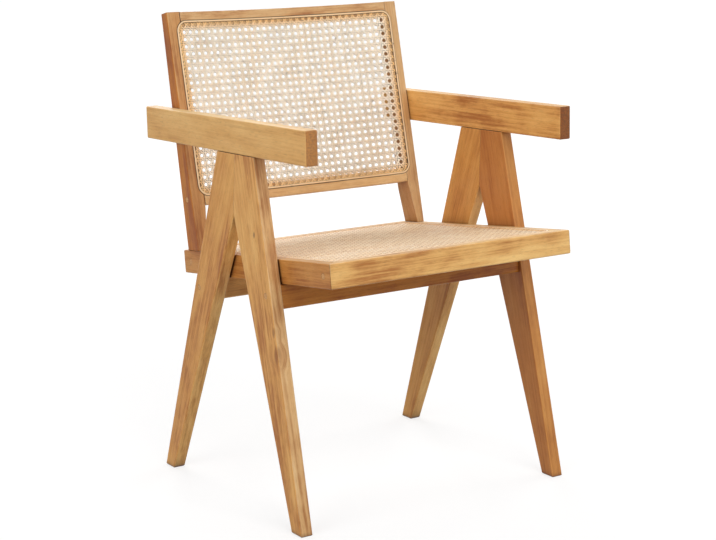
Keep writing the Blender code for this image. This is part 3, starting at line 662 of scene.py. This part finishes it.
def make_spline(name, low, high, bow, crown, place, material):
    """A rattan spline with a rounded top, pressed into its groove."""
    half = SPLINE_HALF
    flat = SPLINE_FLAT * half
    bend, rise = SPLINE_BREAK[0] * half, SPLINE_BREAK[1] * crown
    section = (
        (-half, SPLINE_BOTTOM), (-half, SPLINE_SHOULDER), (-bend, rise), (-flat, crown),
        (flat, crown), (bend, rise), (half, SPLINE_SHOULDER), (half, SPLINE_BOTTOM),
    )
    path = spline_path(low, high)
    verts, faces = [], []
    count = len(section)
    for spot, out in path:
        for u, v in section:
            place_at = spot + out * (u - SPLINE_INWARD)
            verts.append(place_at + Vector((0, 0, v - bow_at(place_at.x, bow))))
    for i in range(len(path)):
        near, far = count * i, count * ((i + 1) % len(path))
        for k in range(count):
            n = (k + 1) % count
            faces.append((near + n, near + k, far + k, far + n))
    mesh = bpy.data.meshes.new(name)
    mesh.from_pydata(verts, [], faces)
    mesh.shade_smooth()
    mesh.set_sharp_from_angle(angle=SPLINE_SHARP)
    # Painted shade on the sides that sit in the groove
    brinks = SPLINE_SIDE_SHADE * len(path)
    mesh.attributes.new("brink", "FLOAT", "POINT").data.foreach_set("value", brinks)
    tones = [SPLINE_TONE] * len(verts)
    mesh.attributes.new("tone", "FLOAT", "POINT").data.foreach_set("value", tones)
    obj = link(bpy.data.objects.new(name, mesh))
    obj.matrix_world = place
    obj.data.materials.append(material)
    return obj


def dress_panels():
    """Weave both panels and press in their splines."""
    back_cane = cane("back_cane", *BACK_CANE)
    seat_cane = cane("seat_cane", *SEAT_CANE)
    back_rattan = cane("back_rattan", *BACK_RATTAN)
    seat_rattan = cane("seat_rattan", *SEAT_RATTAN)
    edge = SEAT_HALF - SEAT_BORDER
    seat_low, seat_high = (-edge, SEAT_BORDER), (edge, SEAT_LENGTH - SEAT_BORDER)
    edge = SEAT_HALF - BACK_BORDER
    back_low, back_high = (-edge, BACK_GAP + BACK_BORDER), (edge, BACK_HEIGHT - BACK_BORDER)
    panels = {
        "seat": (seat_low, seat_high, 0.0, SEAT_CROWN, seat_place(), SEAT_WEAVE, seat_cane, seat_rattan),
        "back": (back_low, back_high, BACK_BOW, BACK_CROWN, back_place(), BACK_WEAVE, back_cane, back_rattan),
    }
    for name, (low, high, bow, crown, place, lattice, strands, rattan) in panels.items():
        panel = weave_panel(name + "_weave", lattice, low, high, bow, place, strands)
        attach(panel, "root")
        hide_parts(name + "_cane")
        ring = make_spline(name + "_reed", low, high, bow, crown, place, rattan)
        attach(ring, "root")
        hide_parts(name + "_spline")


# Tones of the wood, as shares of its golden colours; fitted to each face's look, they carry painted light,
# shade and sheen besides each piece's own colour
GOLDEN = (1.06, 1.02, 0.96)
WHEAT = (1.09, 1.16, 1.26)
PALE = (1.20, 1.28, 1.42)
BRIGHT = (1.30, 1.42, 1.65)
FLAX = (0.97, 1.10, 1.60)
STRAW = (0.88, 0.97, 1.40)
HONEY = (0.94, 0.82, 0.66)
AMBER = (0.82, 0.67, 0.52)
CHESTNUT = (0.74, 0.53, 0.38)
RUSSET = (0.71, 0.44, 0.10)
TAUPE = (0.76, 0.70, 0.77)
UMBER = (0.75, 0.51, 0.19)
SMOKED = (0.55, 0.38, 0.13)
# FAR_SIDE: one plain tone for all faces that point to +X; TOP_SHEEN: a painted sheen that pales and cools the
# tops
FAR_SIDE = (0.98, 0.90, 0.74)
TOP_SHEEN = (0.98, 1.15, 1.55)

# Strength of the figure
CALM = 0.85
PLAIN = 1.0
LIVELY = 1.5

# Grain direction of each wooden piece, its tone, the tone of its front and rear, and its figure; the tones
# hold painted light and shade as well as the piece's own colour
ALONG_SEAT = (0, math.cos(SEAT_TILT), -math.sin(SEAT_TILT))
ALONG_ARM = (0, math.cos(ARM_TILT), -math.sin(ARM_TILT))
ALONG_STILE = (0, math.sin(BACK_LEAN), math.cos(BACK_LEAN))
ALONG_FRONT_LEG = (0, 0.26, 0.96)
ALONG_REAR_LEG = (0, -0.33, 0.94)
ACROSS = (1, 0, 0)
PIECES = {
    "arm_left": (ALONG_ARM, GOLDEN, SMOKED, LIVELY),
    "arm_right": (ALONG_ARM, WHEAT, WHEAT, CALM),
    # front_leg_left's dark tone paints the shade on its inner face
    "front_leg_left": (ALONG_FRONT_LEG, CHESTNUT, AMBER, PLAIN),
    "front_leg_right": (ALONG_FRONT_LEG, GOLDEN, FLAX, LIVELY),
    # The rear legs' pale fronts paint light onto faces that the front legs shade
    "rear_leg_left": (ALONG_REAR_LEG, HONEY, PALE, PLAIN),
    "rear_leg_right": (ALONG_REAR_LEG, HONEY, PALE, LIVELY),
    "front_cross_rail": (ACROSS, UMBER, UMBER, LIVELY),
    # rear_cross_rail's pale and bright tones paint light into a rail that sits in shade under the seat
    "rear_cross_rail": (ACROSS, PALE, BRIGHT, PLAIN),
    "seat_front_rail": (ACROSS, PALE, WHEAT, LIVELY),
    "seat_rear_rail": (ACROSS, WHEAT, WHEAT, PLAIN),
    "seat_side_rail_left": (ALONG_SEAT, WHEAT, WHEAT, PLAIN),
    "seat_side_rail_right": (ALONG_SEAT, AMBER, HONEY, LIVELY),
    "back_stile_left": (ALONG_STILE, TAUPE, STRAW, PLAIN),
    "back_stile_right": (ALONG_STILE, RUSSET, TAUPE, LIVELY),
    "back_top_rail": (ACROSS, STRAW, STRAW, LIVELY),
    "back_bottom_rail": (ACROSS, FLAX, FLAX, PLAIN),
}


def dress_nodes():
    """Give every node of the solids its finish."""
    plug = plug_wood("plug_end_grain")
    metal = steel("screw_steel")
    seed = 0
    for name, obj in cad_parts.items():
        if name in PIECES:
            seed += 1
            knots = LEG_KNOTS if name == "front_leg_right" else ()
            material = wood(name + "_teak", *PIECES[name], seed, knots)
        elif name.endswith("_screw"):
            material = metal
        else:
            material = plug
        obj.data.materials.clear()
        obj.data.materials.append(material)


def make_world():
    """White surroundings for the camera and for reflections, which light the chair less strongly."""
    world = bpy.data.worlds.new("studio")
    bpy.context.scene.world = world
    world.use_nodes = True
    tree = world.node_tree
    back = tree.nodes["Background"]
    back.inputs["Color"].default_value = WHITE
    path = tree.nodes.new("ShaderNodeLightPath")
    seen = path.outputs["Is Camera Ray"]
    for ray in ("Is Glossy Ray", "Is Transmission Ray"):
        either = tree.nodes.new("ShaderNodeMath")
        either.operation = "MAXIMUM"
        tree.links.new(seen, either.inputs[0])
        tree.links.new(path.outputs[ray], either.inputs[1])
        seen = either.outputs[0]
    level = tree.nodes.new("ShaderNodeMapRange")
    level.inputs["To Min"].default_value = WORLD_LIGHT
    level.inputs["To Max"].default_value = 1.0
    tree.links.new(seen, level.inputs["Value"])
    tree.links.new(level.outputs[0], back.inputs["Strength"])


def area_light(name, at, power):
    """A soft square lamp aimed at the middle of the chair."""
    data = bpy.data.lights.new(name, "AREA")
    data.size = LAMP_SIZE
    data.energy = power
    lamp = link(bpy.data.objects.new(name, data))
    lamp.location = at
    lamp.rotation_euler = (Vector(LAMP_TARGET) - Vector(at)).to_track_quat("-Z", "Y").to_euler()


def make_floor():
    """A white floor that shows as white, apart from the chair's soft shadow."""
    bm = bmesh.new()
    bmesh.ops.create_circle(bm, cap_ends=True, segments=FLOOR_SIDES, radius=FLOOR_RADIUS)
    mesh = bpy.data.meshes.new("floor")
    bm.to_mesh(mesh)
    bm.free()
    floor = link(bpy.data.objects.new("floor", mesh))
    t = Tree("floor_white")
    t.shader.inputs["Base Color"].default_value = FLOOR_GREY
    t.shader.inputs["Roughness"].default_value = FLOOR_ROUGHNESS
    t.shader.inputs["Specular IOR Level"].default_value = 0.0
    t.shader.inputs["Emission Color"].default_value = WHITE
    path = t.node("LightPath").outputs
    seen = t.math("MAXIMUM", path["Is Camera Ray"], path["Is Glossy Ray"])
    seen = t.math("MAXIMUM", seen, path["Is Transmission Ray"])
    coords = t.node("TexCoord").outputs["Object"]
    distance = t.node("VectorMath", {0: coords}, operation="LENGTH").outputs["Value"]
    glow = t.spread(distance, FLOOR_NEAR, FLOOR_FAR, FLOOR_GLOW, FLOOR_FAR_GLOW)
    t.set(t.shader.inputs["Emission Strength"], t.math("MULTIPLY", seen, glow))
    mesh.materials.append(t.material)


make_camera()
dress_nodes()
dress_panels()
make_world()
make_floor()
for lamp_name, (lamp_at, lamp_power) in LAMPS.items():
    area_light(lamp_name, lamp_at, lamp_power)
bpy.context.scene.view_settings.view_transform = "Standard"
